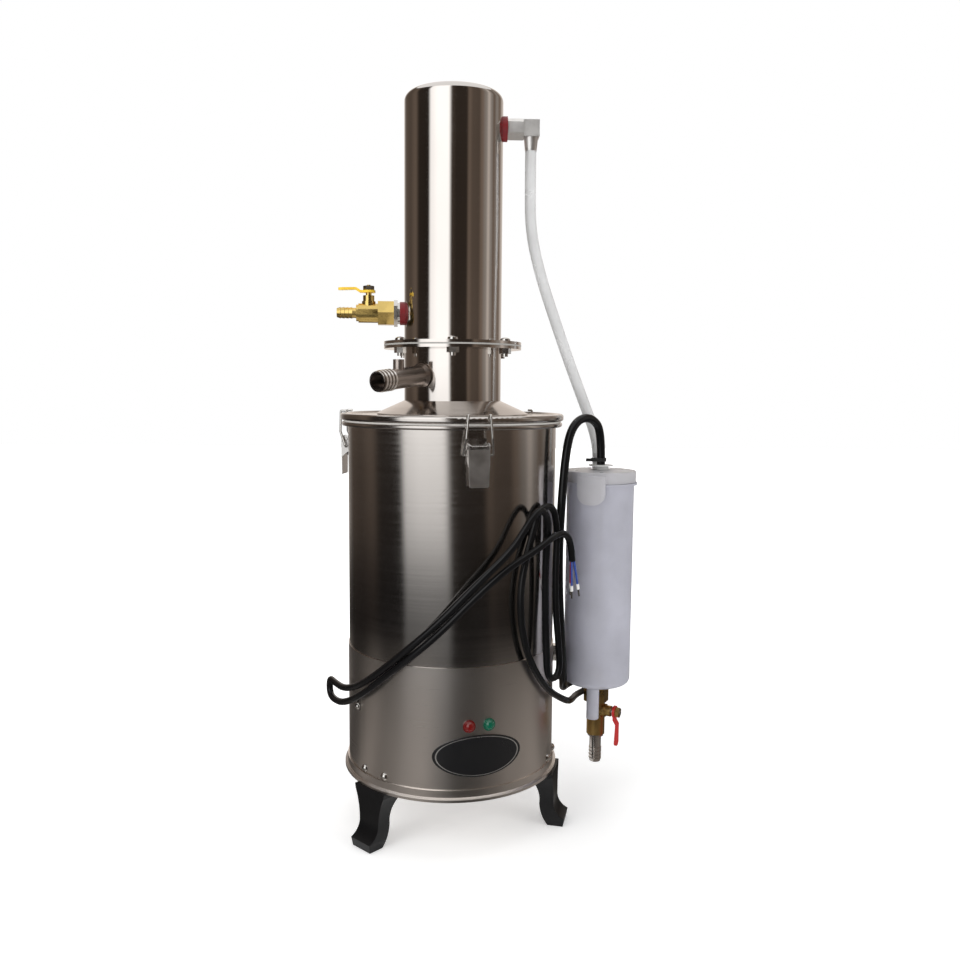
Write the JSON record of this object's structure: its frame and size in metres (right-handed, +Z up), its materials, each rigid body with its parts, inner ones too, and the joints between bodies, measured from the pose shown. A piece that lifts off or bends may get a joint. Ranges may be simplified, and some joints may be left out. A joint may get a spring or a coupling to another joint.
{
  "type": "electric water distiller",
  "caption": "Bench water distiller: round steel boiler on cast legs, clamped lid, tall condenser column, side level cup, ball valves, hose and cords.",
  "frame": {"origin": "the point on the bench below the boiler drum's axis, level with the undersides of the feet", "axes": "+Z up along the drum and condenser axis; -Y towards the front, where the lamps and the bare badge are; +X towards the level cup"},
  "size_m": [0.334, 0.252, 0.7682],
  "materials": {
    "polished_steel": "polished stainless sheet",
    "inner_steel": "plain stainless",
    "latch_steel": "bright pressed steel",
    "bright_fastener": "bright plated",
    "leg_black": "black satin paint on a casting",
    "pale_silicone": "pale silicone sheet",
    "red_silicone": "red silicone",
    "valve_brass": "machined brass",
    "yellow_handle": "yellow dipped steel",
    "red_handle": "red dipped steel",
    "clear_cup": "translucent moulding",
    "clear_hose": "translucent soft tube",
    "white_plastic": "white moulding",
    "black_plastic": "black moulding",
    "black_cord": "black flexible sheath",
    "wire_sheath": "coloured cores with bright ferrules",
    "red_lens": "red lens",
    "green_lens": "green lens",
    "badge_black": "black oval plate with a bright line inside its edge, bare"
  },
  "bodies": {
    "stand": {"badge_plate": "badge_black", "base_cover": "polished_steel", "base_hoop": "polished_steel", "base_skirt": "polished_steel", "boiler_lid": "polished_steel", "boiler_pot": "polished_steel", "collecting_gutter": "inner_steel", "condenser_flange": "polished_steel", "condenser_shell": "polished_steel", "cord_clip": "bright_fastener", "cord_glands": "black_plastic", "cord_tie": "white_plastic", "cup_body": "clear_cup", "cup_lid": "clear_cup", "distillate_pipe": "polished_steel", "drain_gasket": "red_silicone", "drain_hose_barb": "bright_fastener", "drain_valve_body": "valve_brass", "feed_nipple": "inner_steel", "feed_nuts": "bright_fastener", "flange_bolts": "bright_fastener", "flange_gasket": "pale_silicone", "flange_nuts": "bright_fastener", "green_lamp": "green_lens", "heater_element": "inner_steel", "inlet_collar": "valve_brass", "inlet_gasket": "red_silicone", "inlet_hose_barb": "valve_brass", "inlet_valve_body": "valve_brass", "latch_brackets": "latch_steel", "leg_front": "leg_black", "leg_rear": "leg_black", "leg_right": "leg_black", "leg_screws": "bright_fastener", "lid_seal": "pale_silicone", "mains_cord": "black_cord", "mains_wire_ends": "wire_sheath", "neck_tube": "polished_steel", "outlet_elbow": "valve_brass", "outlet_gasket": "red_silicone", "outlet_nipple": "bright_fastener", "probe_cable": "black_cord", "probe_gland": "white_plastic", "probe_stem": "inner_steel", "red_lamp": "red_lens", "steam_tube_stack": "inner_steel", "transfer_hose": "clear_hose"},
    "inlet_handle": {"inlet_ball_stem": "bright_fastener", "inlet_lever": "yellow_handle", "inlet_lever_nut": "bright_fastener"},
    "drain_handle": {"drain_ball_stem": "bright_fastener", "drain_lever": "red_handle", "drain_lever_nut": "bright_fastener"},
    "float": {"level_float": "white_plastic"},
    "lever_front": {"latch_lever_front": "latch_steel"},
    "catch_front": {"latch_bail_front": "latch_steel"},
    "lever_rear": {"latch_lever_rear": "latch_steel"},
    "catch_rear": {"latch_bail_rear": "latch_steel"},
    "lever_left": {"latch_lever_left": "latch_steel"},
    "catch_left": {"latch_bail_left": "latch_steel"}
  },
  "joints": [
    {"name": "inlet_turn", "type": "hinge", "parent": "stand", "child": "inlet_handle", "pos_m": [-0.08788, -0.00461, 0.5426], "axis": [0, 0, 1], "range_deg": [0, 90]},
    {"name": "drain_turn", "type": "hinge", "parent": "stand", "child": "drain_handle", "pos_m": [0.1615, 0.008, 0.1108], "axis": [0.866, -0.5, 0], "range_deg": [0, 90]},
    {"name": "float_rise", "type": "slide", "parent": "stand", "child": "float", "axis": [0, 0, 1], "range_m": [0, 0.016]},
    {"name": "lever_front_swing", "type": "hinge", "parent": "stand", "child": "lever_front", "pos_m": [0.0248, -0.11281, 0.41], "axis": [-0.9767, -0.2147, 0], "range_deg": [0, 140]},
    {"name": "catch_front_swing", "type": "hinge", "parent": "lever_front", "child": "catch_front", "pos_m": [0.02448, -0.11134, 0.402], "axis": [-0.9767, -0.2147, 0], "range_deg": [-140, 0]},
    {"name": "lever_rear_swing", "type": "hinge", "parent": "stand", "child": "lever_rear", "pos_m": [0.08067, 0.08266, 0.41], "axis": [0.7157, -0.6984, 0], "range_deg": [0, 140]},
    {"name": "catch_rear_swing", "type": "hinge", "parent": "lever_rear", "child": "catch_rear", "pos_m": [0.07962, 0.08159, 0.402], "axis": [0.7157, -0.6984, 0], "range_deg": [-140, 0]},
    {"name": "lever_left_swing", "type": "hinge", "parent": "stand", "child": "lever_left", "pos_m": [-0.11338, 0.02204, 0.41], "axis": [0.1908, 0.9816, 0], "range_deg": [0, 140]},
    {"name": "catch_left_swing", "type": "hinge", "parent": "lever_left", "child": "catch_left", "pos_m": [-0.11191, 0.02175, 0.402], "axis": [0.1908, 0.9816, 0], "range_deg": [-140, 0]}
  ],
  "couplings": [
    {"joint": "catch_front_swing", "follows": "lever_front_swing", "ratio": -1},
    {"joint": "catch_rear_swing", "follows": "lever_rear_swing", "ratio": -1},
    {"joint": "catch_left_swing", "follows": "lever_left_swing", "ratio": -1}
  ]
}
